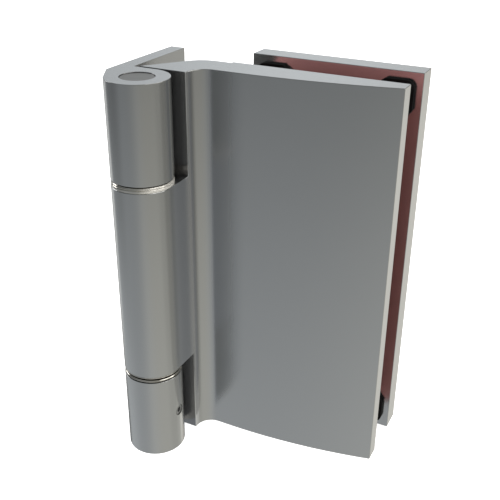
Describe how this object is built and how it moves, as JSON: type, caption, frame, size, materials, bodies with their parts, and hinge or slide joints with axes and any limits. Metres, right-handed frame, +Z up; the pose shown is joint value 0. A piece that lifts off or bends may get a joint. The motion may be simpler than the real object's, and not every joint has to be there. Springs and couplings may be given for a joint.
{
  "type": "glass door hinge",
  "caption": "Hinge for a glass door: a frame leaf with two knuckles, and a bowed door leaf with a back plate that clamps the pane between gaskets, turning on one pin.",
  "frame": {"origin": "on the fixing face of the frame leaf, on the line of fixing holes, at half the height of the hinge", "axes": "+Z up along the pin, +X from the fixing face towards the free edge of the door, +Y towards the back of the glass"},
  "size_m": [0.0977, 0.0694, 0.15],
  "materials": {
    "satin_aluminium": "satin anodised",
    "ground_steel": "ground",
    "screw_steel": "plain",
    "polished_bush": "polished",
    "red_fibre": "matte",
    "black_rubber": "matte",
    "white_plastic": "matte"
  },
  "bodies": {
    "frame": {"frame_leaf": "satin_aluminium", "hinge_pin": "ground_steel", "pin_grub_screw": "screw_steel", "upper_frame_bush": "polished_bush", "lower_frame_bush": "polished_bush"},
    "door": {"door_leaf": "satin_aluminium", "back_plate": "satin_aluminium", "upper_door_bush": "polished_bush", "lower_door_bush": "polished_bush", "front_gasket": "red_fibre", "back_gasket": "black_rubber", "upper_glass_sleeve": "white_plastic", "lower_glass_sleeve": "white_plastic", "clamp_screws": "screw_steel"}
  },
  "joints": [
    {"name": "door_swing", "type": "hinge", "parent": "frame", "child": "door", "pos_m": [0.0149, -0.029, 0], "axis": [0, 0, -1], "range_deg": [0, 180]}
  ]
}
